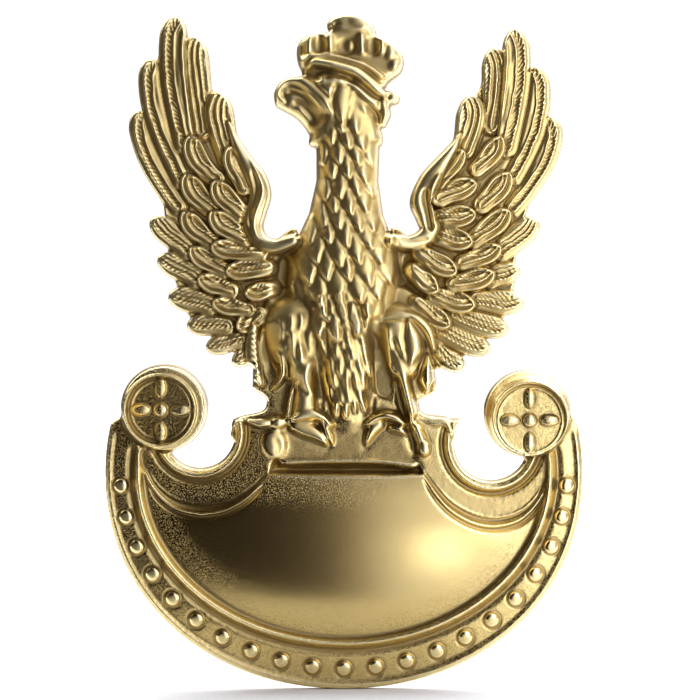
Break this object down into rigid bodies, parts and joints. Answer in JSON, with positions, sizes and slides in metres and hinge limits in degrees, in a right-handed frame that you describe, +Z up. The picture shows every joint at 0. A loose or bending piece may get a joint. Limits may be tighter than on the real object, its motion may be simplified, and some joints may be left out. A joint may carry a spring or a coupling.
{
  "type": "cap badge",
  "caption": "Struck brass cap badge: crowned eagle, wings raised, on a crescent shield with scroll ends and a beaded border; screw stud, locating prongs and disc nut behind.",
  "frame": {"origin": "on the stud's axis, in the plane of the badge's flat rear rim", "axes": "+Z up as worn, the relief faces -Y, +Y points into the cap along the stud, +X to the right of someone facing the badge"},
  "size_m": [0.0426, 0.0158, 0.06],
  "materials": {
    "antique_gilt": "antiqued gilt brass, satin with a fine pitted grain and darker recesses",
    "brass_turned": "turned brass, bright",
    "brass_wire": "drawn brass wire, slightly dull",
    "washer_brass": "stamped brass, dull",
    "nut_brass": "stamped and knurled brass, satin",
    "solder": "dull grey soft solder"
  },
  "bodies": {
    "badge": {"badge_shell": "antique_gilt", "stud": "brass_turned", "stud_solder": "solder", "left_prong": "brass_wire", "right_prong": "brass_wire", "prong_solder": "solder"},
    "washer": {"clamp_washer": "washer_brass"},
    "nut": {"nut_hub": "brass_turned", "nut_disc": "nut_brass"}
  },
  "joints": [
    {"name": "washer_slide", "type": "slide", "parent": "badge", "child": "washer", "axis": [0, 1, 0], "range_m": [-0.0021, 0.0049]},
    {"name": "nut_spin", "type": "hinge", "parent": "washer", "child": "nut", "pos_m": [0, 0, 0], "axis": [0, 1, 0], "range_deg": [-1080, 2520]}
  ],
  "couplings": [
    {"joint": "nut_spin", "follows": "washer_slide", "rad_per_m": 8976}
  ]
}
